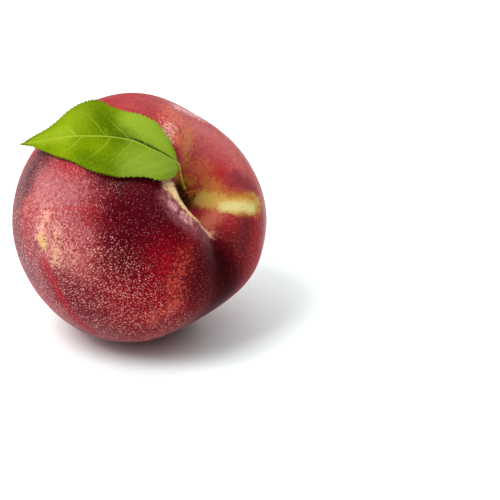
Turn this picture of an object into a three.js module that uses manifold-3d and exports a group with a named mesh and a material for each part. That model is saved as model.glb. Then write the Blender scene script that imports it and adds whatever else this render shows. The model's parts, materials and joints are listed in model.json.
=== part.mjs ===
// A nectarine with its leaf, as picked. It rests on a small flat spot on its cheek.
// Millimetres, +Z up. The origin is the middle of the flat spot.
import * as THREE from "three";
import { ParametricGeometry } from "three/addons/geometries/ParametricGeometry.js";
import { mergeVertices } from "three/addons/utils/BufferGeometryUtils.js";
import Module from "manifold-3d";

const wasm = await Module();
wasm.setup();

const { degToRad: deg, lerp, smoothstep } = THREE.MathUtils;

// Fruit, in its own frame: the stem axis is +Z and the origin is the middle of the flesh.
// Azimuth 0 is the middle of the big cheek and 180 the middle of the small cheek.
const CHEEK_RADIUS = 35.6;
const EQUATOR_HEIGHT = 1.0;
const BLOSSOM_DEPTH = 33.4; // from the middle down to the blossom end
const BLOSSOM_POINT = 0.8; // height of the small point there
const BLOSSOM_POINT_RADIUS = 3.0;

// Stem cavity and the shoulder round it.
const CAVITY_FLOOR = 20.5; // height of its bottom
const CAVITY_FLOOR_SHARE = 0.17; // of the crest radius, where the floor is flat
const WALL_ONSET = 1.45; // how gently the wall leaves the floor
const WALL_ROUNDING = 2.2; // how broadly it turns over into the crest
const CREST_HEIGHT = 31.8; // height of the top of the shoulder
const CREST_RADIUS = 12.0;
const SMALL_CHEEK_SPREAD = 5.0; // how much further out the small cheek's crest lies
const SMALL_CHEEK_DROP = 2.4; // how much lower it is

// Suture: a notch in the shoulder and a seam that fades down the side.
const SUTURE_AZIMUTH = deg(108);
const SUTURE_NOTCH = 3.0;
const SUTURE_NOTCH_WIDTHS = [deg(13), deg(34)]; // towards the big and the small cheek
const SUTURE_DEPTH = 1.3;
const SUTURE_HALF_WIDTH = 2.8;
const SUTURE_START = [5, 12]; // radii between which it deepens
const SUTURE_FADE = 0.7; // how much of its depth it has lost at the widest part
const SUTURE_FADE_RADII = [15, 27];
const SUTURE_FOOT_SHARE = 0.45; // of its depth, kept near the blossom end
const SUTURE_FOOT_HEIGHTS = [-22, 6]; // between which it is cut down to that
const BACK_SEAM_AZIMUTH = deg(-104);
const BACK_SEAM_NOTCH = 3.2;
const BACK_SEAM_WIDTHS = [deg(38), deg(22)];

// Groove that the twig pressed into the small cheek.
const GROOVE_AZIMUTH = deg(162);
const GROOVE_DEPTH = 1.7;
const GROOVE_HALF_WIDTH = 3.3;
const GROOVE_START = [6, 12]; // radii between which it deepens
const GROOVE_END = [26, 8]; // heights between which it fades out

// Flatter strips down the side: azimuth, half width and share of the radius lost. Where the
// loss is below zero the strip is fuller instead.
const FLAT_STRIPS = [
  { azimuth: deg(45), halfWidth: deg(22), loss: 0.028 },
  { azimuth: deg(92), halfWidth: deg(18), loss: 0.036 },
  { azimuth: deg(123), halfWidth: deg(17), loss: 0.096 },
  { azimuth: deg(-83), halfWidth: deg(15), loss: -0.03 },
  { azimuth: deg(-117), halfWidth: deg(16), loss: 0.1 },
];
const STRIP_START = [0.1, 0.45]; // shares of the way from crest to blossom end

// Rest pose: the stem axis leans from the vertical, and the fruit is turned about it.
const STEM_LEAN = deg(52);
const STEM_HEADING = deg(-39);
const FRUIT_TURN = deg(-118);
const FLAT_SPOT_DEPTH = 0.35; // how much of the round cheek the flat spot takes

// Woody stalk end, in the fruit's frame: it leans towards the suture.
const STUB_FOOT = new THREE.Vector3(0, 0, 20.85);
const STUB_END = new THREE.Vector3(-0.4, 1.5, 25.2);
const STUB_RADIUS = 1.6;
const STUB_END_RADIUS = 1.3;
const STUB_EDGE_SHARE = 0.1; // of its length, over which each end rounds off
const STUB_RIDGES = 3;
const STUB_RIDGE_SHARE = 0.07; // of its radius

// Leaf, in the standing frame, measured from the middle of the fruit. The first points are
// its thin stalk, which rises out of the cavity beside the stub, and the rest its midrib.
const LEAF_LINE = [
  [13.8, -11.7, 15.4],
  [13.4, -12.5, 17.2],
  [12.9, -15.0, 20.5],
  [12.2, -19.3, 26.5],
  [9.1, -20.6, 29.2],
  [5.4, -20.6, 31.1],
  [0.1, -19.2, 32.9],
  [-7.7, -16.9, 33.1],
  [-14.0, -14.1, 32.0],
  [-18.6, -11.6, 30.7],
  [-25.2, -7.7, 28.1],
  [-30.9, -3.6, 25.4],
];
const STALK_SHARE = 0.213; // of the leaf line's length
const STALK_RADIUS = 0.5;
const BLADE_HALF_THICKNESS = 0.32;
const BLADE_START_SHARE = 0.08; // of the blade, over which the round stalk turns flat
const BLADE_FOLD = 0.07; // how far the halves rise from the midrib, of their width
const UPPER_FACE_AT_BASE = new THREE.Vector3(0.15, -0.65, 0.74);
const UPPER_FACE_AT_TIP = new THREE.Vector3(-0.45, -0.51, 0.73);
// Half widths of the blade against the share of its length, from its base to its tip.
const HIGH_HALF_WIDTHS = [
  [0, 0.5],
  [0.03, 2.0],
  [0.1, 4.8],
  [0.18, 7.2],
  [0.27, 7.6],
  [0.36, 7.8],
  [0.44, 9.1],
  [0.5, 10.4],
  [0.54, 10.8],
  [0.6, 10.0],
  [0.67, 8.5],
  [0.75, 5.8],
  [0.83, 3.3],
  [0.91, 1.4],
  [1, 0.12],
];
const LOW_HALF_WIDTHS = [
  [0, 0.5],
  [0.03, 5.6],
  [0.08, 7.9],
  [0.15, 8.8],
  [0.24, 11.4],
  [0.33, 11.9],
  [0.42, 11.3],
  [0.5, 9.7],
  [0.57, 8.1],
  [0.63, 7.2],
  [0.69, 6.2],
  [0.76, 4.6],
  [0.84, 2.8],
  [0.91, 1.3],
  [1, 0.12],
];

// Facets.
const FRUIT_ROWS = 44; // from the cavity to the blossom end
const FRUIT_COLUMNS = 72; // round the stem axis
const CAVITY_SHARE = 0.36; // of the rows
const LEAF_STEPS = 44; // along the leaf
const LEAF_SIDES = 18; // round its section
const STUB_STEPS = 10;
const STUB_SIDES = 12;
const MERGE_DISTANCE = 1e-4;

const SKIN = new THREE.MeshStandardMaterial({ color: 0x6e1220, roughness: 0.35, metalness: 0 });
const WOOD = new THREE.MeshStandardMaterial({ color: 0x874b11, roughness: 0.9, metalness: 0 });
const LEAF_GREEN = new THREE.MeshStandardMaterial({ color: 0x718805, roughness: 0.5, metalness: 0 });

const restTurn = new THREE.Matrix4()
  .makeRotationZ(STEM_HEADING)
  .multiply(new THREE.Matrix4().makeRotationY(STEM_LEAN))
  .multiply(new THREE.Matrix4().makeRotationZ(FRUIT_TURN));

const wrapped = (angle) => Math.atan2(Math.sin(angle), Math.cos(angle));
const bell = (offset, halfWidth) => Math.exp(-0.5 * (offset / halfWidth) ** 2);

// A smooth dip round the stem axis, with one half width on each side of its middle.
function notch(azimuth, middle, [before, after]) {
  const offset = wrapped(azimuth - middle);
  return bell(offset, offset < 0 ? before : after);
}

// Radius and height of the skin, from the cavity floor over the crest to the blossom end.
function meridian(share, azimuth) {
  const smallness = (1 - Math.cos(azimuth)) / 2;
  const crestRadius = CREST_RADIUS + SMALL_CHEEK_SPREAD * smallness;
  const crestHeight = CREST_HEIGHT - SMALL_CHEEK_DROP * smallness
    - SUTURE_NOTCH * notch(azimuth, SUTURE_AZIMUTH, SUTURE_NOTCH_WIDTHS)
    - BACK_SEAM_NOTCH * notch(azimuth, BACK_SEAM_AZIMUTH, BACK_SEAM_WIDTHS);
  if (share < CAVITY_SHARE) {
    const out = share / CAVITY_SHARE;
    const wall = Math.max(0, (out - CAVITY_FLOOR_SHARE) / (1 - CAVITY_FLOOR_SHARE));
    const climb = 1 - (1 - wall ** WALL_ONSET) ** WALL_ROUNDING;
    return [crestRadius * out, CAVITY_FLOOR + (crestHeight - CAVITY_FLOOR) * climb];
  }
  const descent = (share - CAVITY_SHARE) / (1 - CAVITY_SHARE);
  const angle = Math.PI * descent;
  let sideRadius = CHEEK_RADIUS;
  for (const strip of FLAT_STRIPS) {
    const loss = strip.loss * bell(wrapped(azimuth - strip.azimuth), strip.halfWidth);
    sideRadius -= CHEEK_RADIUS * loss * smoothstep(descent, ...STRIP_START);
  }
  if (descent < 0.5) {
    return [
      crestRadius + (sideRadius - crestRadius) * Math.sin(angle),
      EQUATOR_HEIGHT + (crestHeight - EQUATOR_HEIGHT) * Math.cos(angle),
    ];
  }
  return [
    sideRadius * Math.sin(angle),
    EQUATOR_HEIGHT + (BLOSSOM_DEPTH + EQUATOR_HEIGHT) * Math.cos(angle),
  ];
}

function skinPoint(share, turn, target) {
  const azimuth = 2 * Math.PI * turn;
  const [radius, height] = meridian(share, azimuth);
  const fromSuture = wrapped(azimuth - SUTURE_AZIMUTH) * radius;
  const fromGroove = wrapped(azimuth - GROOVE_AZIMUTH) * radius;
  const seam = SUTURE_DEPTH * bell(fromSuture, SUTURE_HALF_WIDTH)
    * smoothstep(radius, ...SUTURE_START)
    * (1 - SUTURE_FADE * smoothstep(radius, ...SUTURE_FADE_RADII))
    * lerp(SUTURE_FOOT_SHARE, 1, smoothstep(height, ...SUTURE_FOOT_HEIGHTS));
  const groove = GROOVE_DEPTH * bell(fromGroove, GROOVE_HALF_WIDTH)
    * smoothstep(radius, ...GROOVE_START)
    * smoothstep(-height, -GROOVE_END[0], -GROOVE_END[1]);
  target.set(radius * Math.cos(azimuth), radius * Math.sin(azimuth), height);
  target.setLength(target.length() - seam - groove);
  if (height < 0) target.z -= BLOSSOM_POINT * bell(radius, BLOSSOM_POINT_RADIUS);
}

// A closed mesh as a manifold solid: shared vertices are merged and empty faces dropped.
function solidOf(geometry) {
  const bare = geometry.clone();
  bare.deleteAttribute("normal");
  bare.deleteAttribute("uv");
  const merged = mergeVertices(bare, MERGE_DISTANCE);
  const corners = merged.index.array;
  const kept = [];
  for (let i = 0; i < corners.length; i += 3) {
    const [a, b, c] = [corners[i], corners[i + 1], corners[i + 2]];
    if (a !== b && b !== c && c !== a) kept.push(a, b, c);
  }
  return new wasm.Manifold(new wasm.Mesh({
    numProp: 3,
    vertProperties: merged.attributes.position.array,
    triVerts: new Uint32Array(kept),
  }));
}

function namedMesh(name, solid, material) {
  const { vertProperties, triVerts } = solid.getMesh();
  const geometry = new THREE.BufferGeometry();
  geometry.setAttribute("position", new THREE.BufferAttribute(vertProperties, 3));
  geometry.setIndex(new THREE.BufferAttribute(triVerts, 1));
  geometry.computeVertexNormals();
  const mesh = new THREE.Mesh(geometry, material);
  mesh.name = name;
  return mesh;
}

// The fruit in its rest pose, about its own middle, with the flat spot cut at groundHeight.
function makeFruit() {
  const round = new ParametricGeometry(skinPoint, FRUIT_ROWS, FRUIT_COLUMNS).applyMatrix4(restTurn);
  round.computeBoundingBox();
  const groundHeight = round.boundingBox.min.z + FLAT_SPOT_DEPTH;
  const side = 4 * CHEEK_RADIUS;
  const ground = new THREE.BoxGeometry(side, side, side).translate(0, 0, groundHeight - side / 2);
  return { solid: solidOf(round).subtract(solidOf(ground)), groundHeight };
}

// The middle of the cut face's outline.
function flatSpotMiddle(mesh, groundHeight) {
  const spot = new THREE.Box3();
  const corner = new THREE.Vector3();
  for (let i = 0; i < mesh.geometry.attributes.position.count; i += 1) {
    corner.fromBufferAttribute(mesh.geometry.attributes.position, i);
    if (Math.abs(corner.z - groundHeight) < MERGE_DISTANCE) spot.expandByPoint(corner);
  }
  return spot.getCenter(new THREE.Vector3());
}

function makeStub() {
  const line = new THREE.LineCurve3(STUB_FOOT, STUB_END);
  const up = line.getTangent(0);
  const side = new THREE.Vector3(1, 0, 0).cross(up).normalize();
  const across = new THREE.Vector3().crossVectors(side, up);
  const stubPoint = (along, turn, target) => {
    const angle = 2 * Math.PI * turn;
    const inset = Math.min(1, Math.min(along, 1 - along) / STUB_EDGE_SHARE);
    const rounding = Math.sqrt(1 - (1 - inset) ** 2);
    const ridges = 1 + STUB_RIDGE_SHARE * Math.sin(STUB_RIDGES * angle);
    const radius = lerp(STUB_RADIUS, STUB_END_RADIUS, along) * rounding * ridges;
    line.getPoint(along, target);
    target.addScaledVector(side, radius * Math.cos(angle));
    target.addScaledVector(across, radius * Math.sin(angle));
  };
  return solidOf(new ParametricGeometry(stubPoint, STUB_STEPS, STUB_SIDES).applyMatrix4(restTurn));
}

// A smooth curve through [share, half width] pairs, as a function of the share.
function widthCurve(pairs) {
  const curve = new THREE.SplineCurve(pairs.map((pair) => new THREE.Vector2(...pair)));
  return (share) => {
    const next = Math.max(1, pairs.findIndex((pair) => share <= pair[0]));
    const [before, after] = [pairs[next - 1][0], pairs[next][0]];
    return curve.getPoint((next - 1 + (share - before) / (after - before)) / (pairs.length - 1)).y;
  };
}

function makeLeaf() {
  const line = new THREE.CatmullRomCurve3(LEAF_LINE.map((point) => new THREE.Vector3(...point)));
  const highHalf = widthCurve(HIGH_HALF_WIDTHS);
  const lowHalf = widthCurve(LOW_HALF_WIDTHS);
  const leafPoint = (along, turn, target) => {
    const angle = 2 * Math.PI * turn;
    const share = Math.max(0, (along - STALK_SHARE) / (1 - STALK_SHARE));
    const halfWidth = Math.cos(angle) > 0 ? highHalf(share) : lowHalf(share);
    const flatness = smoothstep(share, 0, BLADE_START_SHARE);
    const thickness = lerp(STALK_RADIUS, BLADE_HALF_THICKNESS, flatness);
    const closing = along > 0 && along < 1 ? 1 : 0;
    const across = Math.max(STALK_RADIUS * (1 - flatness), halfWidth) * Math.cos(angle) * closing;
    const lift = BLADE_FOLD * flatness * Math.abs(across) + thickness * Math.sin(angle) * closing;
    const tangent = line.getTangentAt(along);
    const face = new THREE.Vector3().lerpVectors(UPPER_FACE_AT_BASE, UPPER_FACE_AT_TIP, share);
    face.addScaledVector(tangent, -face.dot(tangent)).normalize();
    const side = new THREE.Vector3().crossVectors(tangent, face);
    line.getPointAt(along, target);
    target.addScaledVector(side, across).addScaledVector(face, lift);
  };
  return solidOf(new ParametricGeometry(leafPoint, LEAF_STEPS, LEAF_SIDES));
}

const { solid, groundHeight } = makeFruit();
const fruit = namedMesh("fruit", solid, SKIN);
const nectarine = new THREE.Group();
nectarine.add(fruit);
nectarine.add(namedMesh("stem_stub", makeStub(), WOOD));
nectarine.add(namedMesh("leaf", makeLeaf(), LEAF_GREEN));
nectarine.position.copy(flatSpotMiddle(fruit, groundHeight)).negate();

export default nectarine;
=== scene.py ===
"""A ripe nectarine with its leaf, resting on its cheek on a pale floor."""

import json
import math
from collections import namedtuple

import bpy
from mathutils import Matrix, Vector, noise
from mathutils.bvhtree import BVHTree
from mathutils.geometry import interpolate_bezier

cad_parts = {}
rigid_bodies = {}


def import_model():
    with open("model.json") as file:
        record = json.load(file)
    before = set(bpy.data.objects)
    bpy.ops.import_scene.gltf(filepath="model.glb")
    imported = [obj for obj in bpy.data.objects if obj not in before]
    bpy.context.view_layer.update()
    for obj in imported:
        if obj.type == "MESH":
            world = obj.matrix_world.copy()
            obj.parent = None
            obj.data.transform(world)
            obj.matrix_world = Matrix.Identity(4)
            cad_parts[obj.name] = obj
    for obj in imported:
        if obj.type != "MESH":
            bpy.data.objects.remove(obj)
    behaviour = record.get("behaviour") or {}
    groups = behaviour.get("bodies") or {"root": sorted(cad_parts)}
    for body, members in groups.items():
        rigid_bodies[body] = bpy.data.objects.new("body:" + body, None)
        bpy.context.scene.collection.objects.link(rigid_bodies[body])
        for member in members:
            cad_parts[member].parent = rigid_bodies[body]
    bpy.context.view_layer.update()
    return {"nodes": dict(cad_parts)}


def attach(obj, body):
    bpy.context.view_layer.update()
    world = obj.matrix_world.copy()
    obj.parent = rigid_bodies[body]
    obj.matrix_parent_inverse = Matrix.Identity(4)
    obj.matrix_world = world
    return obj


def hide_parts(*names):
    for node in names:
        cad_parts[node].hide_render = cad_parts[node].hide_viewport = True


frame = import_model()

bl_info = {
    "name": "Nectarine",
    "version": (1, 0, 0),
    "blender": (4, 5, 0),
    "location": "3D View > Sidebar > Nectarine",
    "description": "Builds a nectarine with its leaf and stalk end",
    "category": "Object",
}

MM = 0.001

# The fruit's own frame: its stem axis is +Z, its middle is the origin, and azimuth 0 is
# the middle of the big cheek. It lies turned like this, with its middle this high.
FRUIT_MIDDLE = Vector((0.83, -1.33, 31.82)) * MM
STEM_LEAN = math.radians(52)
STEM_HEADING = math.radians(-39)
FRUIT_TURN = math.radians(-118)
REST_TURN = (
    Matrix.Rotation(STEM_HEADING, 3, "Z")
    @ Matrix.Rotation(STEM_LEAN, 3, "Y")
    @ Matrix.Rotation(FRUIT_TURN, 3, "Z")
)

# The leaf: the line of its stalk and midrib, in millimetres from the fruit's middle.
LEAF_LINE = (
    (13.8, -11.7, 15.4), (13.4, -12.5, 17.2), (12.9, -15.0, 20.5), (12.2, -19.3, 26.5),
    (9.1, -20.6, 29.2), (5.4, -20.6, 31.1), (0.1, -19.2, 32.9), (-7.7, -16.9, 33.1),
    (-14.0, -14.1, 32.0), (-18.6, -11.6, 30.7), (-25.2, -7.7, 28.1), (-30.9, -3.6, 25.4),
)
STALK_SHARE = 0.213  # of the line's length
FACE_AT_BASE = Vector((0.15, -0.65, 0.74))
FACE_AT_TIP = Vector((-0.45, -0.51, 0.73))
# Half widths in millimetres against the share of the blade's length, base to tip.
HIGH_HALF_WIDTHS = (
    (0, 0.5), (0.03, 2.0), (0.1, 4.8), (0.18, 7.2), (0.27, 7.6), (0.36, 7.8), (0.44, 9.1),
    (0.5, 10.4), (0.54, 10.8), (0.6, 10.0), (0.67, 8.5), (0.75, 5.8), (0.83, 3.3), (0.91, 1.4),
    (1, 0.12),
)
LOW_HALF_WIDTHS = (
    (0, 2.2), (0.03, 5.4), (0.08, 7.9), (0.15, 8.8), (0.24, 11.4), (0.33, 11.9), (0.42, 11.3),
    (0.5, 9.7), (0.57, 8.1), (0.63, 7.2), (0.69, 6.2), (0.76, 4.6), (0.84, 2.8), (0.91, 1.3),
    (1, 0.12),
)
BLADE_FOLD = 0.07  # how far the halves rise from the midrib, of their width
BLADE_STEPS = (44, 340)  # across and along
BASE_LOBE = 1.3 * MM  # how far the low half reaches back past the stalk's end
QUILT_HEIGHT = 0.1 * MM  # how far the blade swells between its side veins
MIDRIB_GROOVE_DEPTH = 0.22 * MM
MIDRIB_GROOVE_WIDTH = 0.55 * MM
MIDRIB_HEIGHT = 0.1 * MM
MIDRIB_WIDTH = 0.2 * MM
RIPPLE_HEIGHT = 0.35 * MM  # at the edges
RIPPLES = 3.3  # along the blade
WANDER = 0.25 * MM  # how far the blade strays up and down
STALK_SINK = 0.5 * MM  # how far the stalk runs below the blade where they join
STALK_OVERLAP = 0.12  # how far it runs on under the blade, of the line's length
STALK_STEPS = 40
# Side veins: how fast they follow each other at the base, how much slower further on, and
# how far they run towards the tip on their way out, first straight and then more and more.
VEIN_RATE = 13.0
VEIN_SLOWING = 7.3
VEIN_OFFSET = 0.2  # how far the high half's veins are shifted, of their spacing
HIGH_VEIN_SLANT = 0.17
LOW_VEIN_SLANT = 0.04
VEIN_BEND = 0.13

# The woody stalk end, in millimetres in the fruit's frame.
STUB_FOOT = Vector((0, 0, 20.85))
STUB_END = Vector((-0.4, 1.5, 25.2))

# The camera frames a square picture, and its scale is taken at the fruit's middle.
PICTURE_SIDE = 500
MM_PER_PIXEL = 0.2795
FRUIT_PIXEL = (137, 223.5)  # where the fruit's middle comes
CAMERA_ELEVATION = math.radians(25)
CAMERA_DISTANCE = 0.58
SENSOR = 36

BRIGHT_WAY = Vector((-0.3, 0.3, 0.9))  # where the room is brightest
# The lamps' places and the sides of their squares, in metres.
TOP_LAMP = (-0.4, -0.39, 0.83), 0.48
RIGHT_LAMP = (0.5, 0.46, 0.4), 0.34
LEFT_LAMP = (-0.66, 0.06, 0.2), 0.34
FLOOR_SIDE = 6


def srgb(red, green, blue):
    """A screen colour, 0 to 255, as the linear numbers that shaders use."""
    shares = (c / 255 for c in (red, green, blue))
    return tuple(s / 12.92 if s <= 0.04045 else ((s + 0.055) / 1.055) ** 2.4 for s in shares)


def smoothstep(value, low, high):
    share = min(1.0, max(0.0, (value - low) / (high - low)))
    return share * share * (3 - 2 * share)


# --- what a user can change

def colour(name, description, default):
    return bpy.props.FloatVectorProperty(
        name=name, description=description, default=default,
        subtype="COLOR", size=3, min=0, max=1,
    )


def length(name, description, default):
    return bpy.props.FloatProperty(
        name=name, description=description, default=default, unit="LENGTH", min=0,
    )


def share(name, description, default, most=1.0):
    return bpy.props.FloatProperty(
        name=name, description=description, default=default, subtype="FACTOR", min=0, max=most,
    )


def power(name, description, default):
    return bpy.props.FloatProperty(
        name=name, description=description, default=default, unit="POWER", min=0,
    )


class NectarineSkin(bpy.types.PropertyGroup):
    blush: colour("Blush", "The red that most of the skin has", srgb(146, 36, 42))
    freckle: colour("Freckle", "The small corky dots", srgb(224, 152, 142))
    freckle_spacing: length("Freckle spacing", "From dot to dot", 0.58 * MM)
    freckle_width: length("Freckle width", "Across one dot", 0.37 * MM)
    roughness: share("Roughness", "How dull the skin is", 0.4)
    undulation: length("Undulation", "How far the skin strays from round", 0.16 * MM)


class NectarineLeaf(bpy.types.PropertyGroup):
    blade: colour("Blade", "The blade's own green", srgb(94, 116, 1))
    young: colour("Young green", "Its paler, yellower parts", srgb(118, 142, 5))
    vein: colour("Vein", "Midrib and side veins", srgb(152, 176, 56))
    stalk: colour("Stalk", "The thin stalk", srgb(182, 172, 38))
    thickness: length("Thickness", "Through the blade", 0.28 * MM)
    tooth_pitch: length("Tooth pitch", "From tooth to tooth along the edge", 1.05 * MM)
    tooth_depth: length("Tooth depth", "How far the teeth stand out", 0.5 * MM)
    stalk_width: length("Stalk width", "Across the thin stalk", 0.78 * MM)


class NectarineStalkEnd(bpy.types.PropertyGroup):
    bark: colour("Bark", "The sides of the woody stalk end", srgb(84, 48, 12))
    torn_wood: colour("Torn wood", "Its broken end", srgb(184, 96, 20))
    width: length("Width", "Across the stalk end", 3.0 * MM)


class NectarineStage(bpy.types.PropertyGroup):
    floor: colour("Floor", "The floor", (0.87, 0.93, 0.935))
    room_light: share("Room light", "Light from overhead and behind", 1.3, most=3)
    front_light: share("Front light", "Light from in front", 0.22, most=3)
    top_power: power("Top lamp", "Power of the wide lamp overhead", 7.8)
    right_power: power("Right lamp", "Power of the soft lamp on the right", 1.05)
    left_power: power("Left lamp", "Power of the soft lamp on the left", 0.15)


# --- node wiring

class Wiring:
    """Adds nodes to a tree. Each call gives back the new node's output."""

    def __init__(self, tree):
        self.tree = tree

    def node(self, kind, inputs=(), output=0, **settings):
        node = self.tree.nodes.new(kind)
        for name, value in settings.items():
            setattr(node, name, value)
        pairs = inputs.items() if isinstance(inputs, dict) else enumerate(inputs)
        for key, value in pairs:
            self.feed(node.inputs[key], value)
        return node.outputs[output]

    def feed(self, socket, value):
        if isinstance(value, bpy.types.NodeSocket):
            self.tree.links.new(value, socket)
        elif socket.type == "RGBA":
            socket.default_value = (*value, 1)
        else:
            socket.default_value = value

    def math(self, operation, *values):
        return self.node("ShaderNodeMath", values, operation=operation)

    def add(self, a, b):
        return self.math("ADD", a, b)

    def times(self, a, b):
        return self.math("MULTIPLY", a, b)

    def vector(self, operation, *values):
        output = "Value" if operation in ("DISTANCE", "DOT_PRODUCT", "LENGTH") else "Vector"
        return self.node("ShaderNodeVectorMath", values, output, operation=operation)

    def scaled(self, vector, factor):
        inputs = {"Vector": vector, "Scale": factor}
        return self.node("ShaderNodeVectorMath", inputs, operation="SCALE")

    def ramp(self, value, low, high, start=0.0, end=1.0):
        """Runs smoothly from start at low to end at high."""
        inputs = (value, low, high, start, end)
        return self.node("ShaderNodeMapRange", inputs, interpolation_type="SMOOTHSTEP")

    def blend(self, mask, under, over):
        """Lays one colour over another where the mask is one."""
        inputs = {"Factor": mask, 6: under, 7: over}
        return self.node("ShaderNodeMix", inputs, 2, data_type="RGBA")

    def noise(self, place, scale, detail=2.0, roughness=0.5, output="Fac"):
        inputs = {"Vector": place, "Scale": scale, "Detail": detail, "Roughness": roughness}
        return self.node("ShaderNodeTexNoise", inputs, output)

    def parts(self, vector):
        return self.node("ShaderNodeSeparateXYZ", (vector,)).node.outputs

    def joined(self, x, y, z):
        return self.node("ShaderNodeCombineXYZ", (x, y, z))


def new_group(name, inputs, outputs):
    """An empty node group with these sockets, its wiring, its inputs and its end node."""
    group = bpy.data.node_groups.new(name, "ShaderNodeTree")
    for socket, kind in inputs:
        group.interface.new_socket(socket, in_out="INPUT", socket_type=kind)
    for socket, kind in outputs:
        group.interface.new_socket(socket, in_out="OUTPUT", socket_type=kind)
    start = group.nodes.new("NodeGroupInput")
    end = group.nodes.new("NodeGroupOutput")
    return group, Wiring(group), start.outputs, end


Patch = namedtuple("Patch", "colour path half_width feather ragged grain strength")


def soft_patch_group():
    """Masks a ragged patch along the line between two points. All lengths are alike."""
    group, wire, start, end = new_group(
        "soft_patch",
        (
            ("Place", "NodeSocketVector"), ("Drift", "NodeSocketVector"),
            ("Speckle", "NodeSocketFloat"), ("From", "NodeSocketVector"),
            ("To", "NodeSocketVector"), ("Half Width", "NodeSocketFloat"),
            ("Feather", "NodeSocketFloat"), ("Ragged", "NodeSocketFloat"),
            ("Grain", "NodeSocketFloat"),
        ),
        (("Mask", "NodeSocketFloat"),),
    )
    place = wire.vector("ADD", start["Place"], wire.scaled(start["Drift"], start["Ragged"]))
    span = wire.vector("SUBTRACT", start["To"], start["From"])
    reach = wire.vector("SUBTRACT", place, start["From"])
    along = wire.math(
        "DIVIDE", wire.vector("DOT_PRODUCT", reach, span), wire.vector("DOT_PRODUCT", span, span)
    )
    along = wire.node("ShaderNodeClamp", (along,))
    away = wire.vector("DISTANCE", reach, wire.scaled(span, along))
    inner = wire.math("SUBTRACT", start["Half Width"], start["Feather"])
    outer = wire.add(start["Half Width"], start["Feather"])
    mask = wire.ramp(away, inner, outer, 1.0, 0.0)
    # The speckle breaks up the feathered edge and leaves the bare skin alone.
    broken = wire.times(wire.times(start["Speckle"], start["Grain"]), wire.ramp(mask, 0.0, 0.3))
    wire.feed(end.inputs["Mask"], wire.node("ShaderNodeClamp", (wire.add(mask, broken),)))
    return group


def patch_fields(wire, place):
    """What every patch on a piece reads: the place, a slow drift and a fine speckle."""
    drift = wire.noise(place, 0.28, 4, 0.6, output="Color")
    drift = wire.vector("SUBTRACT", drift, (0.5, 0.5, 0.5))
    speckle = wire.math("SUBTRACT", wire.noise(place, 1.1, 5, 0.72), 0.5)
    return {"Place": place, "Drift": drift, "Speckle": speckle}


def patch_mask(wire, tree, fields, spec, points):
    """Masks the patch that runs through these points."""
    whole = None
    for first, last in zip(points, points[1:] or points):
        inputs = {
            **fields, "From": first, "To": last, "Half Width": spec.half_width,
            "Feather": spec.feather, "Ragged": spec.ragged, "Grain": spec.grain,
        }
        mask = wire.node("ShaderNodeGroup", inputs, node_tree=tree)
        whole = mask if whole is None else wire.math("MAXIMUM", whole, mask)
    return wire.times(whole, spec.strength)


def mottle_group():
    """Makes a colour lighter and darker in soft clouds of a given size."""
    group, wire, start, end = new_group(
        "mottle",
        (
            ("Place", "NodeSocketVector"), ("Color", "NodeSocketColor"),
            ("Scale", "NodeSocketFloat"), ("Amount", "NodeSocketFloat"),
        ),
        (("Color", "NodeSocketColor"),),
    )
    clouds = wire.noise(start["Place"], start["Scale"], 4, 0.55)
    clouds = wire.times(wire.math("SUBTRACT", clouds, 0.5), start["Amount"])
    tint = wire.node(
        "ShaderNodeHueSaturation", {"Value": wire.add(clouds, 1.0), "Color": start["Color"]}
    )
    wire.feed(end.inputs["Color"], tint)
    return group


def new_material(name):
    """A material with only an output and a shader, and its wiring."""
    material = bpy.data.materials.new(name)
    material.use_nodes = True
    shader = material.node_tree.nodes["Principled BSDF"]
    return material, Wiring(material.node_tree), shader


def fruit_place(wire, origin):
    """Places in millimetres, turned as the fruit is, from an origin in the row frame."""
    mapping = {
        "Vector": wire.node("ShaderNodeTexCoord", output="Object"), "Location": origin,
        "Rotation": REST_TURN.to_euler("XYZ"), "Scale": (MM, MM, MM),
    }
    return wire.node("ShaderNodeMapping", mapping, vector_type="TEXTURE")


def add_bump(wire, shader, height, strength, distance):
    bump = {"Strength": strength, "Distance": distance, "Height": height}
    wire.feed(shader.inputs["Normal"], wire.node("ShaderNodeBump", bump))


# --- shared making

def deselect_all():
    for piece in bpy.context.scene.objects:
        piece.select_set(False)


def work_on(piece):
    deselect_all()
    piece.select_set(True)
    bpy.context.view_layer.objects.active = piece


def apply_modifier(piece, kind, **settings):
    work_on(piece)
    modifier = piece.modifiers.new(kind.lower(), kind)
    for name, value in settings.items():
        setattr(modifier, name, value)
    bpy.ops.object.modifier_apply(modifier=modifier.name)


def copy_of_node(node, name):
    """A CAD node's shape as a new piece, with its loose triangles merged into quads."""
    piece = frame["nodes"][node].copy()
    piece.data = piece.data.copy()
    piece.name = piece.data.name = name
    for key in list(piece.keys()):
        del piece[key]
    bpy.context.scene.collection.objects.link(piece)
    work_on(piece)
    bpy.ops.object.mode_set(mode="EDIT")
    bpy.ops.mesh.select_all(action="SELECT")
    bpy.ops.mesh.remove_doubles(threshold=0.002 * MM)
    bpy.ops.mesh.tris_convert_to_quads(
        face_threshold=math.radians(50), shape_threshold=math.radians(70)
    )
    bpy.ops.object.mode_set(mode="OBJECT")
    return piece


def hand_over(piece, material, nodes=()):
    """Gives a finished piece its material and body, and hides the nodes it stands for."""
    piece.data.materials.clear()
    piece.data.materials.append(material)
    work_on(piece)
    bpy.ops.object.shade_smooth()
    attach(piece, "root")
    if nodes:
        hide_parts(*nodes)


def to_row(point):
    """A point in the fruit's frame, in millimetres, as a place in the row frame."""
    return REST_TURN @ (Vector(point) * MM) + FRUIT_MIDDLE


def to_fruit(place):
    """A place in the row frame as a point in the fruit's frame, in millimetres."""
    return REST_TURN.transposed() @ (place - FRUIT_MIDDLE) / MM


# --- the fruit

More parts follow.
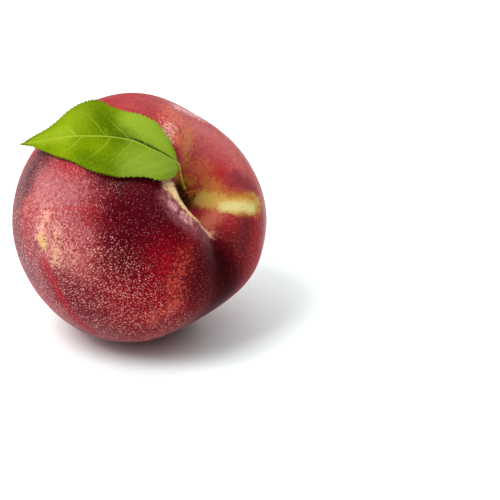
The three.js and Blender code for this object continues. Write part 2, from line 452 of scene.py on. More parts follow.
# Patches of colour on the skin, laid over each other in this order. A path goes from place
# to place, each its azimuth round the stem axis and its angle from the stalk, in degrees.
# Widths, feathered edges and raggedness are in millimetres.
SKIN_PATCHES = {
    "pink_far": Patch(srgb(178, 84, 82), ((-100, 34), (-150, 40)), 8, 8, 7, 2, 0.85),
    "back_yellow": Patch(srgb(196, 134, 66), ((-140, 112), (-170, 150)), 8, 10, 9, 4, 0.7),
    "back_red": Patch(srgb(104, 14, 28), ((-165, 66), (165, 84), (120, 96)), 8, 13, 9, 2, 0.75),
    "back_rose": Patch(srgb(176, 70, 66), ((-120, 70), (-100, 96)), 6, 9, 8, 3, 0.6),
    "deep_cheek": Patch(srgb(70, 2, 14), ((20, 38), (75, 60)), 16, 11, 9, 1.0, 1.0),
    "purple_cheek": Patch(srgb(100, 22, 36), ((32, 86), (66, 100)), 12, 9, 8, 1.5, 0.95),
    # A pale haze on the left side, partly a dusty bloom and partly painted sheen.
    "dust_and_sheen_side": Patch(srgb(184, 136, 142), ((-16, 86), (4, 86), (24, 100)), 7, 8, 6, 1.5, 0.12),
    "dusty_low": Patch(srgb(196, 150, 152), ((34, 112), (52, 114), (70, 104)), 5, 7, 6, 1.5, 0.15),
    # Painted shade: dark bands darken the left edge and the upper left of the cheek.
    "painted_shade_rim": Patch(
        srgb(80, 36, 46), ((-19, 92), (-6, 106), (10, 112), (24, 112)), 4.5, 4, 4, 2, 0.85
    ),
    "painted_shade_top": Patch(srgb(72, 32, 42), ((-29, 77), (-19, 85), (-14, 93)), 5.5, 4, 4, 3, 0.9),
    "red_low": Patch(srgb(142, 14, 32), ((58, 70), (72, 76), (84, 66)), 5, 7, 7, 2, 0.65),
    "crimson_middle": Patch(srgb(142, 32, 44), ((10, 62), (24, 70)), 5, 6, 6, 2, 0.7),
    "dusty_high": Patch(srgb(134, 62, 68), ((-6, 64), (4, 62)), 4, 6, 6, 2, 0.7),
    # Painted sheen: a pale rose patch high on the left of the cheek.
    "painted_rose_sheen": Patch(srgb(164, 98, 102), ((-6, 78), (2, 68)), 4.6, 5, 6, 4, 0.75),
    "coral_top": Patch(srgb(160, 40, 46), ((-14, 68), (-8, 62)), 2, 3, 3, 2, 0.7),
    "crimson_cheek": Patch(srgb(148, 6, 24), ((62, 44), (72, 60)), 3.2, 9, 6, 2.5, 0.9),
    "orange_flank": Patch(
        srgb(204, 78, 60), ((72, 40), (75, 50), (83, 61), (78, 74)), 0.6, 4.8, 5, 8, 0.55
    ),
    "bare_red": Patch(srgb(140, 14, 26), ((70, 30), (73, 36)), 0.8, 1.4, 1, 2, 0.5),
    # Painted shade: the right flank is darkened almost to black over its dark red.
    "painted_shade_flank": Patch(srgb(44, 1, 5), ((108, 38), (116, 52), (118, 70)), 7.5, 7.5, 4, 0.8, 1.0),
    "rosy_low": Patch(srgb(180, 92, 88), ((10, 82), (22, 84), (34, 76)), 4, 4.5, 5, 4, 0.5),
    "pale_side": Patch(
        srgb(206, 154, 158), ((-2, 81), (10, 73), (16, 69), (24, 67)), 2.6, 4.2, 6, 5, 0.2
    ),
    "cream_high": Patch(
        srgb(216, 164, 144), ((6, 79), (11, 84), (13, 87)), 0.9, 2.2, 5, 7, 0.8
    ),
    "cream_low": Patch(srgb(206, 158, 128), ((18, 79), (24, 82), (28, 86)), 1.0, 2.4, 5, 7, 0.75),
    "cream_dab": Patch(srgb(216, 164, 146), ((15, 78), (17, 75)), 0.6, 1.6, 5, 8, 0.75),
    "cream_spray": Patch(srgb(196, 138, 128), ((14, 86), (24, 88), (28, 78)), 2.6, 3.6, 6, 8, 0.45),
    "yellow_core": Patch(srgb(202, 178, 104), ((15.5, 87), (19, 88)), 1.1, 1.1, 2, 5, 0.85),
    "yellow_spot": Patch(srgb(204, 162, 104), ((24, 84), (29, 86)), 0.6, 1.2, 2.5, 5, 0.6),
    "red_line": Patch(srgb(166, 22, 34), ((5, 81), (9, 69), (14, 58)), 0.3, 0.9, 2, 4, 0.6),
}
SMOOTH_STREAK = Patch(
    srgb(156, 22, 40), ((25, 92), (42, 98), (57, 103), (68, 105)), 1.5, 1.4, 3, 1.5, 0.75
)

CAVITY_PATCHES = {
    "red_wall": Patch(srgb(158, 26, 28), ((-156, 19), (-146, 23)), 2.6, 2.6, 3, 4, 0.85),
    "purple_wall": Patch(srgb(108, 40, 50), ((-164, 28), (-172, 33)), 2.2, 2.6, 3, 2, 0.8),
    "orange_wall": Patch(srgb(196, 98, 64), ((-108, 19), (-130, 20)), 2.4, 3, 3, 3, 0.75),
    "orange_far": Patch(srgb(206, 108, 72), ((-62, 24), (-80, 21), (-88, 30)), 2.6, 2.6, 3, 4, 0.8),
    "orange_mottle": Patch(srgb(208, 104, 76), ((-64, 32), (-80, 38)), 2.8, 3, 4, 6, 0.65),
    "pale_mottle": Patch(srgb(224, 170, 156), ((-48, 27), (-60, 30)), 1.6, 2.4, 4, 7, 0.7),
    "olive_streak": Patch(srgb(184, 124, 60), ((-84, 27), (-84, 18)), 1.4, 2.0, 1.5, 4, 0.5),
    # Painted highlight: a pale whitish patch on the far lobe's crest.
    "painted_far_highlight": Patch(srgb(226, 192, 190), ((-90, 46), (-108, 47)), 1.4, 2.4, 3, 4, 0.6),
    "gold_glow": Patch(
        srgb(176, 108, 52), ((-168, 19), (176, 17), (168, 22), (168, 27), (172, 34)),
        3.2, 1.8, 1.2, 3, 0.85,
    ),
    "coral_wall": Patch(srgb(186, 102, 78), ((118, 22), (146, 21)), 2.2, 2.2, 2, 3, 0.8),
    "purple_lip": Patch(srgb(82, 30, 38), ((150, 33), (136, 37)), 2.2, 3.2, 2, 1.5, 0.85),
    "gold_root": Patch(srgb(182, 138, 64), ((176, 11), (174, 16)), 1.8, 1.6, 1.5, 2, 0.9),
    "olive_root": Patch(
        srgb(190, 128, 44), ((-46, 13.5), (-86, 11.5), (-125, 13.5)), 1.2, 1.6, 1, 3, 0.75
    ),
    "gold_fade": Patch(srgb(172, 104, 56), ((176, 38), (178, 47)), 1.4, 3.0, 3, 4, 0.8),
    "gold_patch": Patch(
        srgb(192, 154, 74), ((173, 16), (166, 21), (166, 26), (169, 31), (175, 35)),
        2.2, 1.5, 1.6, 2.2, 0.95,
    ),
    "cream_heart": Patch(
        srgb(206, 194, 128), ((160, 22.5), (163, 26), (168, 33)), 1.5, 1.0, 1, 1.5, 0.9
    ),
    # Along the furrow's steep upper bank: partly its own golden brown, partly painted shade.
    "brown_seam_and_shade": Patch(srgb(150, 88, 26), ((178, 24), (178, 34)), 0.5, 0.9, 1.4, 3, 0.75),
    "cream_top": Patch(
        srgb(226, 182, 140), ((9, 22.5), (15, 22.1), (23, 21.4)), 1.5, 1.2, 2, 5, 0.9
    ),
    "cream_lip": Patch(
        srgb(232, 202, 142), ((15, 21), (35, 20.2), (60, 20.1)), 1.0, 0.9, 1.5, 4, 0.95
    ),
    "cream_tail": Patch(
        srgb(224, 172, 112), ((60, 20.5), (75, 20.8), (84, 23), (102, 24.6), (105, 26.6)),
        0.9, 0.8, 1.5, 2.5, 0.9,
    ),
    # Painted sheen and highlights: the pale lilac haze and spots beside the near lip.
    "painted_lip_sheen": Patch(
        srgb(164, 96, 104), ((26, 26.4), (42, 26), (72, 26)), 1.4, 2.6, 3, 3, 0.6
    ),
    "lip_line": Patch(srgb(120, 26, 36), ((22, 23.2), (40, 22.6), (60, 22.4)), 0.2, 0.5, 1, 2, 0.7),
    "painted_lip_highlight": Patch(srgb(222, 166, 166), ((35, 25), (40, 24.4)), 0.5, 1.2, 2, 5, 0.75),
    "painted_lip_spot_highlight": Patch(srgb(222, 168, 164), ((53, 24), (64, 23.6)), 0.7, 1.3, 2, 5, 0.7),
    "pink_rays": Patch(srgb(206, 140, 130), ((104, 25), (112, 27.5)), 0.7, 1.4, 2, 7, 0.6),
    "split": Patch(srgb(40, 18, 6), ((78, 21.9), (84, 22.5)), 0.28, 0.25, 0.4, 1, 1.0),
}
# Where wax makes the skin shine.
WAX_PATCHES = {
    "lip_wax": Patch(None, ((30, 25), (80, 27)), 2.6, 3.4, 4, 2.5, 1.0),
    "shoulder_wax": Patch(None, ((5, 36), (38, 36)), 4, 6, 5, 1.5, 0.5),
    "side_wax": Patch(None, ((-14, 92), (10, 96), (20, 104)), 7, 8, 6, 1.5, 0.4),
    "far_wax": Patch(None, ((-60, 44), (-150, 48)), 7, 8, 6, 1.5, 0.6),
    "edge_wax": Patch(None, ((-176, 40), (160, 52)), 4, 6, 6, 1.5, 0.8),
    "back_wax": Patch(None, ((-150, 90), (170, 130)), 24, 14, 6, 1.5, 0.25),
}
BARE_WAX = 0.06  # on the rest of the skin
BLOOM_COLOUR = (1.0, 0.76, 0.8)  # of the sheen
# The cavity's floor is painted dark: painted shade of the deep hollow, over its brown.
CAVITY_SHADE_RADIUS = 5.2  # millimetres from the stem axis
CAVITY_SHADE_COLOUR = srgb(64, 40, 10)
CAVITY_WRINKLE = 0.14 * MM
# The freckles stand closest on the parts of the cheek that lie furthest these two ways.
LOW_CHEEK_WAY = Vector((0.5, 0.72, -0.48))
SIDE_CHEEK_WAY = Vector((0.95, -0.17, 0.26))


class SkinMap:
    """Finds places on the skin by their azimuth and their angle from the stalk."""

    def __init__(self, piece):
        self.tree = BVHTree.FromObject(piece, bpy.context.evaluated_depsgraph_get())

    def point(self, place):
        azimuth, polar = (math.radians(angle) for angle in place)
        out = Vector((
            math.sin(polar) * math.cos(azimuth),
            math.sin(polar) * math.sin(azimuth),
            math.cos(polar),
        ))
        hit = self.tree.ray_cast(FRUIT_MIDDLE, REST_TURN @ out)[0]
        if hit is None:
            raise RuntimeError(f"no skin at {place}")
        return to_fruit(hit)


def shape_skin(piece, undulation):
    """Lets the skin stray a little from round, and wrinkles the cavity round the stalk."""
    for vertex in piece.data.vertices:
        point = to_fruit(vertex.co)
        radius = math.hypot(point.x, point.y)
        azimuth = math.atan2(point.y, point.x)
        swell = noise.noise(point * 0.085) + 0.35 * noise.noise(point * 0.22)
        move = undulation * swell * smoothstep(vertex.co.z, 1 * MM, 6 * MM)
        in_cavity = 1 - smoothstep(radius, 5, 11) if point.z > 0 else 0
        waver = 2 * noise.noise(point * 0.3)
        ray = 0.5 * math.sin(17 * azimuth + waver) + 0.5 * math.sin(29 * azimuth)
        move += CAVITY_WRINKLE * ray * in_cavity * smoothstep(radius, 1.5, 4)
        vertex.co += (vertex.co - FRUIT_MIDDLE).normalized() * move


def flatten_foot(piece):
    """Makes the cut flat spot one face, so that it subdivides evenly."""
    work_on(piece)
    for face in piece.data.polygons:
        face.select = face.normal.z < -0.999 and face.center.z < 0.01 * MM
    bpy.ops.object.mode_set(mode="EDIT")
    bpy.ops.mesh.select_mode(type="FACE")
    bpy.ops.mesh.dissolve_faces()
    bpy.ops.mesh.inset(thickness=0.8 * MM, depth=0)
    bpy.ops.object.mode_set(mode="OBJECT")


def freckles(wire, place, spacing, width, dense):
    """Masks small dots, some of them run together. Where dense is low they shrink and vanish."""
    drift = wire.noise(place, 0.9, 2, output="Color")
    drift = wire.scaled(wire.vector("SUBTRACT", drift, (0.5, 0.5, 0.5)), 0.5)
    cells = wire.node(
        "ShaderNodeTexVoronoi",
        {"Vector": wire.vector("ADD", place, drift), "Scale": 1 / spacing, "Randomness": 0.9},
    ).node
    own = wire.parts(cells.outputs["Color"])
    size = wire.times(wire.ramp(own["X"], 0.0, 1.0, 0.6, 1.2), dense)
    radius = wire.times(size, 0.5 * width / spacing)
    edge = wire.math("SUBTRACT", radius, cells.outputs["Distance"])
    return wire.times(wire.ramp(edge, -0.07, 0.07), wire.ramp(own["Y"], 0.0, 1.0, 0.45, 1.0))


def freckle_mask(wire, settings, place, masks, bare):
    """Masks the freckles, which are few and faint on the dark parts."""
    low = wire.ramp(wire.vector("DOT_PRODUCT", place, LOW_CHEEK_WAY), 6.0, 19.0, 0.12)
    side = wire.vector("DOT_PRODUCT", place, SIDE_CHEEK_WAY)
    side = wire.ramp(side, 26.0, 32.0, 0.0, 0.65)
    dense = wire.math("MAXIMUM", low, side)
    dense = wire.add(dense, wire.times(wire.noise(place, 0.12, 2), 0.22))
    # Freckles are fewest in the painted shade of the right flank.
    quiet = wire.ramp(masks["painted_shade_flank"], 0.35, 1.0)
    dense = wire.math("SUBTRACT", dense, wire.times(quiet, 0.7))
    dense = wire.math("SUBTRACT", dense, 0.05)
    quiet = wire.math("MAXIMUM", quiet, wire.times(masks["deep_cheek"], 0.5))
    spacing = settings.freckle_spacing / MM
    width = settings.freckle_width / MM
    coarse = freckles(wire, place, spacing, width, wire.times(dense, bare))
    coarse = wire.times(coarse, wire.add(wire.times(dense, 0.7), 0.15))
    fine_dense = wire.add(wire.times(dense, 0.3), 0.84)
    fine = freckles(wire, place, spacing * 0.85, width * 0.6, fine_dense)
    fine = wire.times(fine, wire.ramp(quiet, 0.0, 1.0, 0.78, 0.1))
    return wire.math("MAXIMUM", coarse, fine)


def skin_material(settings, skin_map):
    material, wire, shader = new_material("nectarine_skin")
    place = fruit_place(wire, FRUIT_MIDDLE)
    patch_tree = soft_patch_group()
    mottle_tree = mottle_group()
    fields = patch_fields(wire, place)

    def patch(spec):
        points = [skin_map.point(place_on_skin) for place_on_skin in spec.path]
        return patch_mask(wire, patch_tree, fields, spec, points)

    def mottled(paint, scale, amount):
        inputs = {"Place": place, "Color": paint, "Scale": scale, "Amount": amount}
        return wire.node("ShaderNodeGroup", inputs, node_tree=mottle_tree)

    # Fine streaks run from the stalk to the blossom end.
    x, y, z = wire.parts(place)
    ring = wire.vector("LENGTH", wire.joined(x, y, 0.0))
    polar = wire.math("ARCTAN2", ring, z)
    turn = wire.math("ARCTAN2", y, x)
    fibre_place = wire.joined(wire.times(turn, 34.0), wire.times(polar, 4.0), 0.0)
    fibres = wire.noise(fibre_place, 1.0, 3, 0.6)
    paint = mottled(settings.blush, 0.09, 0.5)
    paint = wire.blend(wire.ramp(fibres, 0.5, 0.75, 0, 0.25), paint, srgb(186, 92, 74))
    paint = wire.blend(wire.ramp(fibres, 0.5, 0.25, 0, 0.25), paint, srgb(132, 22, 36))
    masks = {}
    for name, spec in SKIN_PATCHES.items():
        masks[name] = patch(spec)
        paint = wire.blend(masks[name], paint, spec.colour)
    paint = mottled(paint, 0.8, 0.55)
    streak = patch(SMOOTH_STREAK)
    paint = wire.blend(streak, paint, SMOOTH_STREAK.colour)
    dots = freckle_mask(wire, settings, place, masks, wire.math("SUBTRACT", 1.0, streak))
    # The cavity has no freckles.
    outside = wire.ramp(ring, 10.0, 16.0)
    outside = wire.math("MAXIMUM", outside, wire.ramp(z, 20.0, 10.0))
    dots = wire.times(dots, outside)
    paint = wire.blend(dots, paint, settings.freckle)
    for spec in CAVITY_PATCHES.values():
        paint = wire.blend(patch(spec), paint, spec.colour)
    # Painted shade darkens the deep hollow round the stalk end.
    cavity_shade_mask = wire.ramp(ring, CAVITY_SHADE_RADIUS - 2.5, CAVITY_SHADE_RADIUS, 1.0, 0.0)
    cavity_shade_mask = wire.times(cavity_shade_mask, wire.ramp(z, 0.0, 5.0))
    paint = wire.blend(cavity_shade_mask, paint, CAVITY_SHADE_COLOUR)
    wire.feed(shader.inputs["Base Color"], paint)

    dullness = wire.times(wire.math("SUBTRACT", wire.noise(place, 0.5, 3), 0.5), 0.18)
    wire.feed(shader.inputs["Roughness"], wire.add(dullness, settings.roughness))
    wax = BARE_WAX
    for spec in WAX_PATCHES.values():
        wax = wire.math("MAXIMUM", wax, patch(spec))
    wire.feed(shader.inputs["Coat Weight"], wax)
    height = wire.add(wire.times(dots, 0.5), wire.times(wire.noise(place, 2.2, 2), 0.25))
    add_bump(wire, shader, height, 0.25, 0.05 * MM)
    shader.inputs["Specular IOR Level"].default_value = 0.0
    shader.inputs["Coat Roughness"].default_value = 0.3
    shader.inputs["Coat IOR"].default_value = 1.25
    # A fine bloom pales the skin where it is seen at a slant.
    shader.inputs["Sheen Weight"].default_value = 0.24
    shader.inputs["Sheen Roughness"].default_value = 0.3
    shader.inputs["Sheen Tint"].default_value = (*BLOOM_COLOUR, 1)
    return material


class BuildFruit(bpy.types.Operator):
    """Builds the fruit's skin over the CAD solid"""

    bl_idname = "nectarine.build_fruit"
    bl_label = "Build fruit"

    def execute(self, context):
        settings = context.scene.nectarine_skin
        skin = copy_of_node("fruit", "nectarine_skin")
        skin_map = SkinMap(skin)
        flatten_foot(skin)
        apply_modifier(skin, "SUBSURF", levels=2, render_levels=2)
        shape_skin(skin, settings.undulation)
        hand_over(skin, skin_material(settings, skin_map), ["fruit"])
        return {"FINISHED"}


# --- the stalk end

def bark_material(settings):
    material, wire, shader = new_material("stalk_end_wood")
    x, y, z = wire.parts(fruit_place(wire, to_row(STUB_FOOT)))
    grain = wire.noise(wire.joined(x, y, wire.times(z, 0.25)), 3.2, 4, 0.6)
    torn = wire.ramp(wire.add(z, wire.times(grain, 1.2)), 3.3, 4.3)
    from_axis = wire.vector("LENGTH", wire.joined(x, y, 0.0))
    torn = wire.times(torn, wire.ramp(from_axis, 1.7, 1.0))
    paint = wire.blend(wire.ramp(grain, 0.35, 0.7), settings.bark, srgb(142, 92, 44))
    paint = wire.blend(torn, paint, settings.torn_wood)
    paint = wire.blend(wire.ramp(grain, 0.55, 0.35, 0, 0.7), paint, srgb(50, 30, 14))
    wire.feed(shader.inputs["Base Color"], paint)
    wire.feed(shader.inputs["Roughness"], wire.ramp(grain, 0.3, 0.7, 0.75, 0.95))
    add_bump(wire, shader, grain, 0.8, 0.15 * MM)
    shader.inputs["Specular IOR Level"].default_value = 0.1
    return material


STUB_RINGS = 5  # on each end
STUB_RING_WIDTH = 0.13  # of the radius
STUB_TAPER = 0.16
TEAR_DEPTH = 0.35 * MM


def ring_the_ends(stub, axis, radius):
    """Insets both ends ring by ring and divides all faces, so that there is enough to shape."""
    bpy.ops.object.mode_set(mode="EDIT")
    bpy.ops.mesh.select_all(action="DESELECT")
    bpy.ops.object.mode_set(mode="OBJECT")
    for face in stub.data.polygons:
        face.select = abs(face.normal.dot(axis)) > 0.9
    bpy.ops.object.mode_set(mode="EDIT")
    bpy.ops.mesh.select_mode(type="FACE")
    for _ in range(STUB_RINGS):
        bpy.ops.mesh.inset(thickness=STUB_RING_WIDTH * radius, depth=0)
    bpy.ops.mesh.select_all(action="SELECT")
    bpy.ops.mesh.subdivide(number_cuts=3)
    bpy.ops.object.mode_set(mode="OBJECT")


def shape_stub(stub, foot, axis, height, radius):
    """Ridges the sides, tapers the stub, and tears and hollows its end."""
    side = axis.orthogonal().normalized()
    across = axis.cross(side)
    for vertex in stub.data.vertices:
        reach = vertex.co - foot
        along = reach.dot(axis)
        out = reach - axis * along
        angle = math.atan2(out.dot(across), out.dot(side))
        rim = out.length / radius
        ridge = 0.06 * math.sin(9 * angle) + 0.08 * noise.noise(Vector((
            3 * math.cos(angle), 3 * math.sin(angle), along / MM,
        )))
        taper = 1 - STUB_TAPER * along / height
        tear = TEAR_DEPTH * noise.noise(vertex.co / MM * 2.3)
        tear *= smoothstep(along, 0.6 * height, height)
        dish = TEAR_DEPTH * (1 - rim * rim) * smoothstep(along, 0.9 * height, height)
        vertex.co = foot + axis * (along + tear - dish) + out * taper * (1 + ridge)


class BuildStalkEnd(bpy.types.Operator):
    """Builds the woody stalk end in the cavity"""

    bl_idname = "nectarine.build_stalk_end"
    bl_label = "Build stalk end"

    def execute(self, context):
        settings = context.scene.nectarine_stalk_end
        foot, end = to_row(STUB_FOOT), to_row(STUB_END)
        axis = (end - foot).normalized()
        height = (end - foot).length
        radius = settings.width / 2
        deselect_all()
        bpy.ops.mesh.primitive_cylinder_add(
            vertices=48, radius=radius, depth=height,
            location=(foot + end) / 2, rotation=axis.to_track_quat("Z", "Y").to_euler(),
        )
        stub = bpy.context.object
        stub.name = stub.data.name = "stalk_end"
        bpy.ops.object.transform_apply(location=True, rotation=True, scale=True)
        ring_the_ends(stub, axis, radius)
        shape_stub(stub, foot, axis, height, radius)
        hand_over(stub, bark_material(settings), ["stem_stub"])
        return {"FINISHED"}


# --- the leaf

def smooth_line(points, spans=24):
    """Close points on a smooth curve through these, which slows down at close ones."""
    first = points[0] * 2 - points[1]
    last = points[-1] * 2 - points[-2]
    knots = [first, *points, last]
    line = []
    for before, start, end, after in zip(knots, knots[1:], knots[2:], knots[3:]):
        gap_before = (start - before).length ** 0.5
        gap = (end - start).length ** 0.5
        gap_after = (after - end).length ** 0.5
        leave = (start - before) / gap_before + (end - start) / gap
        leave -= (end - before) / (gap_before + gap)
        arrive = (end - start) / gap + (after - end) / gap_after
        arrive -= (after - start) / (gap + gap_after)
        handles = start + leave * gap / 3, end - arrive * gap / 3
        line += interpolate_bezier(start, *handles, end, spans)[:-1]
    return [*line, points[-1]]


class Line:
    """A curve that gives its point and direction at a share of its length."""

    def __init__(self, points):
        self.points = smooth_line(points)
        self.reach = [0.0]
        for a, b in zip(self.points, self.points[1:]):
            self.reach.append(self.reach[-1] + (b - a).length)

    def at(self, part):
        target = min(1.0, max(0.0, part)) * self.reach[-1]
        i = 1
        while self.reach[i] < target and i < len(self.reach) - 1:
            i += 1
        step = self.reach[i] - self.reach[i - 1]
        return self.points[i - 1].lerp(self.points[i], (target - self.reach[i - 1]) / step)

    def direction(self, part):
        return (self.at(part + 0.004) - self.at(part - 0.004)).normalized()


def half_width(pairs, part):
    """The smooth curve through [share, half width] pairs, at a share, in metres."""
    i = 1
    while pairs[i][0] < part and i < len(pairs) - 1:
        i += 1
    t = (part - pairs[i - 1][0]) / (pairs[i][0] - pairs[i - 1][0])
    before, after = pairs[max(0, i - 2)][1], pairs[min(len(pairs) - 1, i + 1)][1]
    start, end = pairs[i - 1][1], pairs[i][1]
    leave, arrive = (end - before) / 2, (after - start) / 2
    cube = 2 * start - 2 * end + leave + arrive
    square = 3 * end - 3 * start - 2 * leave - arrive
    return (((cube * t + square) * t + leave) * t + start) * MM


def vein_phase(side, part):
    """Grows by one from each side vein to the next."""
    out = abs(side)
    slant = HIGH_VEIN_SLANT if side > 0 else LOW_VEIN_SLANT
    start = part - slant * out - VEIN_BEND * out * out
    return VEIN_RATE * start - VEIN_SLOWING * start * start - VEIN_OFFSET * (side > 0)


def shape_blade(piece, settings):
    line = Line([Vector(point) * MM + FRUIT_MIDDLE for point in LEAF_LINE])
    blade_length = line.reach[-1] * (1 - STALK_SHARE)
    for vertex in piece.data.vertices:
        side, part = vertex.co.x, (vertex.co.y + 1) / 2
        out = abs(side)
        along = STALK_SHARE + (1 - STALK_SHARE) * part
        tangent = line.direction(along)
        face = FACE_AT_BASE.lerp(FACE_AT_TIP, part)
        face = (face - tangent * face.dot(tangent)).normalized()
        sideways = tangent.cross(face)
        half = half_width(HIGH_HALF_WIDTHS if side > 0 else LOW_HALF_WIDTHS, part)
        teeth = part * blade_length / settings.tooth_pitch
        teeth = (teeth + 0.3 * noise.noise((part * 40, side, 0))) % 1.0
        tooth = (teeth if teeth < 0.8 else (1 - teeth) * 4) - 0.4
        edge = smoothstep(out, 0.86, 1.0) * smoothstep(part, 0.02, 0.1)
        edge *= smoothstep(part, 1.0, 0.9)
        across = math.copysign(half * out + settings.tooth_depth * tooth * edge, side)
        phase = vein_phase(side, part)
        between = 0.5 - 0.5 * math.cos(2 * math.pi * phase)
        quilt = QUILT_HEIGHT * between * smoothstep(out, 0.02, 0.2) * smoothstep(out, 1.05, 0.7)
        groove = MIDRIB_GROOVE_DEPTH * math.exp(-(across / MIDRIB_GROOVE_WIDTH) ** 2)
        rib = MIDRIB_HEIGHT * math.exp(-(across / MIDRIB_WIDTH) ** 2)
        waves = RIPPLES * part + 0.2 * (side > 0)
        ripple = RIPPLE_HEIGHT * math.sin(2 * math.pi * waves) * out * out
        ripple += WANDER * noise.noise((9 * part, 2 * side, 3))
        lift = BLADE_FOLD * abs(across) + quilt - groove + rib
        lift += ripple * smoothstep(part, 0.0, 0.1)
        lobe = BASE_LOBE * smoothstep(part, 0.07, 0.0) * smoothstep(-side, 0.0, 0.6)
        vertex.co = line.at(along) + sideways * across + face * lift - tangent * lobe


# Lighter and darker places on the blade, some of them painted light and shade where it bends. A
# place is how far it lies out from the midrib, from
# -1 on the low edge to 1 on the high one, and its share of the blade's length.
BLADE_PATCHES = {
    # Painted shade: a darker band on the high half, where the blade bends away.
    "painted_shade_shoulder": Patch(
        srgb(62, 84, 0), ((0.15, 0.36), (0.55, 0.46), (0.7, 0.56)), 4, 4, 4, 0.5, 0.85
    ),
    "dark_hem": Patch(srgb(66, 90, 0), ((-0.85, 0.2), (-0.75, 0.5)), 2.4, 3, 3, 0.5, 0.8),
    "pale_tip": Patch(srgb(144, 160, 36), ((0, 0.72), (0, 1.0)), 3, 5, 3, 0.5, 0.85),
    "pale_left": Patch(srgb(126, 150, 20), ((0.6, 0.62), (0.2, 0.8)), 4, 4, 3, 0.5, 0.6),
    # Painted sheen: pale patches on both halves near the stalk.
    "painted_sheen_high": Patch(srgb(126, 152, 36), ((0.8, 0.3), (0.35, 0.05)), 4, 3, 2, 0.5, 0.95),
    "painted_sheen_base": Patch(srgb(122, 146, 38), ((-0.3, 0.02), (-0.6, 0.2)), 4.5, 4.5, 3, 0.5, 0.85),
}
BLADE_SCALE = (10, 52)  # millimetres for one step out, and along the whole blade


def vein_mask(wire, place, side, v):
    """Masks the midrib and the side veins. Side is -1 to 1 across, v is 0 to 1 along."""
    out = wire.math("ABSOLUTE", side)
    wobble = wire.times(wire.math("SUBTRACT", wire.noise(place, 0.35, 2), 0.5), 0.22)
    high = wire.math("GREATER_THAN", side, 0.0)
    slant = wire.add(wire.times(high, HIGH_VEIN_SLANT - LOW_VEIN_SLANT), LOW_VEIN_SLANT)
    lean = wire.add(wire.times(slant, out), wire.times(wire.times(out, out), VEIN_BEND))
    start = wire.math("SUBTRACT", v, lean)
    slowing = wire.times(wire.times(start, start), VEIN_SLOWING)
    phase = wire.math("SUBTRACT", wire.times(start, VEIN_RATE), slowing)
    phase = wire.math("SUBTRACT", phase, wire.times(high, VEIN_OFFSET))
    phase = wire.add(phase, wobble)
    nearest = wire.math("ABSOLUTE", wire.math("SUBTRACT", phase, wire.math("ROUND", phase)))
    side_veins = wire.ramp(nearest, wire.ramp(out, 0.0, 1.0, 0.034, 0.018), 0.006)
    side_veins = wire.times(side_veins, wire.ramp(out, 0.35, 1.0, 1.0, 0.15))
    side_veins = wire.times(side_veins, wire.ramp(v, 0.62, 0.8, 1.0, 0.2))
    midrib = wire.ramp(out, wire.ramp(v, 0.0, 1.0, 0.018, 0.032), 0.006)
    midrib = wire.times(midrib, wire.ramp(v, 0.6, 0.9, 1.0, 0.35))
    return wire.math("MAXIMUM", wire.times(midrib, 0.7), wire.times(side_veins, 0.48))


def vein_net(wire, place):
    """Masks the net of the finest veins."""
    inputs = {"Vector": place, "Scale": 1.05}
    cells = wire.node("ShaderNodeTexVoronoi", inputs, feature="DISTANCE_TO_EDGE")
    return wire.ramp(cells, 0.1, 0.0)


def blade_material(settings):
    material, wire, shader = new_material("leaf_blade")
    spot = wire.node("ShaderNodeTexCoord", output="UV")
    place = wire.scaled(wire.node("ShaderNodeTexCoord", output="Object"), 1 / MM)
    u, v = wire.parts(spot)[:2]
    side = wire.times(wire.math("SUBTRACT", u, 0.5), 2.0)
    out = wire.math("ABSOLUTE", side)
    veins = vein_mask(wire, place, side, v)
    net = vein_net(wire, place)

    flat_place = wire.joined(
        wire.times(side, BLADE_SCALE[0]), wire.times(v, BLADE_SCALE[1]), 0.0
    )
    fields = patch_fields(wire, flat_place)
    patch_tree = bpy.data.node_groups["soft_patch"]
    patchy = wire.noise(place, 0.1, 3)
    paint = wire.blend(wire.ramp(patchy, 0.3, 0.7, 0, 0.6), settings.blade, settings.young)
    for spec in BLADE_PATCHES.values():
        points = [(s * BLADE_SCALE[0], part * BLADE_SCALE[1], 0) for s, part in spec.path]
        mask = patch_mask(wire, patch_tree, fields, spec, points)
        paint = wire.blend(mask, paint, spec.colour)
    # Painted shade: a dark line darkens the crease along the high side of the midrib, near the
    # stalk.
    midrib_shade = wire.times(wire.ramp(side, 0.15, 0.07), wire.ramp(side, 0.01, 0.04))
    midrib_shade = wire.times(midrib_shade, wire.ramp(v, 0.42, 0.2))
    paint = wire.blend(midrib_shade, paint, srgb(30, 52, 0))
    # Painted shade: the blade's edges are darkened where the blade curls away.
    edge_shade = wire.times(wire.ramp(out, 0.95, 0.985), wire.ramp(v, 0.2, 0.4, 0.0, 0.5))
    paint = wire.blend(edge_shade, paint, srgb(66, 88, 0))
    paint = wire.blend(wire.times(net, 0.16), paint, settings.vein)
    paint = wire.blend(veins, paint, settings.vein)
    wire.feed(shader.inputs["Base Color"], paint)
    dullness = wire.noise(place, 0.3, 3)
    wire.feed(shader.inputs["Roughness"], wire.ramp(dullness, 0.3, 0.7, 0.38, 0.5))
    height = wire.add(wire.times(net, -0.3), wire.times(veins, 0.5))
    add_bump(wire, shader, height, 0.35, 0.08 * MM)
    wire.feed(shader.inputs["Coat Weight"], wire.ramp(v, 0.4, 0.0, 0.0, 0.35))
    shader.inputs["Specular IOR Level"].default_value = 0.0
    shader.inputs["Coat Roughness"].default_value = 0.35
    shader.inputs["Coat IOR"].default_value = 1.45
    return material


def leaf_stalk_material(settings):
    material, wire, shader = new_material("leaf_stalk")
    place = wire.scaled(wire.node("ShaderNodeTexCoord", output="Object"), 1 / MM)
    grain = wire.noise(place, 0.9, 3)
    paint = wire.blend(wire.ramp(grain, 0.35, 0.65), settings.stalk, srgb(136, 124, 22))
    wire.feed(shader.inputs["Base Color"], paint)
    wire.feed(shader.inputs["Roughness"], wire.ramp(grain, 0.3, 0.7, 0.4, 0.6))
    shader.inputs["Specular IOR Level"].default_value = 0.15
    return material


